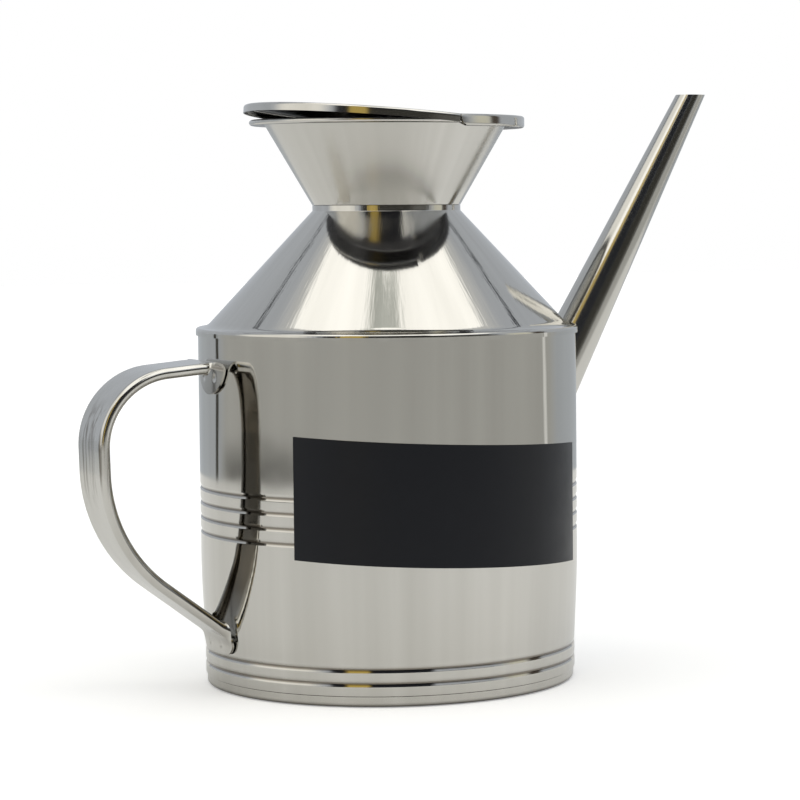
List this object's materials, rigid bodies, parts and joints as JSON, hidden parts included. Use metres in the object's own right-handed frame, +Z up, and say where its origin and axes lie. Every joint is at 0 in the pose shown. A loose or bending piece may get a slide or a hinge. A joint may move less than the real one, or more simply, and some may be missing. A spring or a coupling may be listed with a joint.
{
  "type": "oil can",
  "caption": "Stainless steel kitchen oil can: beaded round body, conical shoulder, filling funnel with a split hinged lid, long conical spout, strap handle and a bare dark label.",
  "frame": {"origin": "on the can's axis, in the plane of the table that its base rim stands on; the recessed base panel is 0.9 mm above it", "axes": "+Z up along the can's axis, +X towards the spout, -X towards the handle, -Y towards the label"},
  "size_m": [0.1636, 0.091, 0.1403],
  "materials": {
    "polished_stainless": "polished sheet",
    "base_stainless": "satin sheet",
    "shoulder_stainless": "polished sheet",
    "funnel_stainless": "polished sheet",
    "lid_stainless": "polished sheet",
    "hinge_wire": "drawn wire",
    "spout_stainless": "polished sheet",
    "strap_stainless": "polished sheet",
    "charcoal_label": "satin film"
  },
  "bodies": {
    "can": {"body_wall": "polished_stainless", "base_disc": "base_stainless", "shoulder_cone": "shoulder_stainless", "filling_funnel": "funnel_stainless", "fixed_half_lid": "lid_stainless", "hinge_pin": "hinge_wire", "spout_tube": "spout_stainless", "handle_strap": "strap_stainless", "front_label": "charcoal_label"},
    "lid_flap": {"hinged_half_lid": "lid_stainless"}
  },
  "joints": [
    {"name": "lid_hinge", "type": "hinge", "parent": "can", "child": "lid_flap", "pos_m": [0.0034, 0, 0.13355], "axis": [0, 1, 0], "range_deg": [-4.8, 95]}
  ]
}
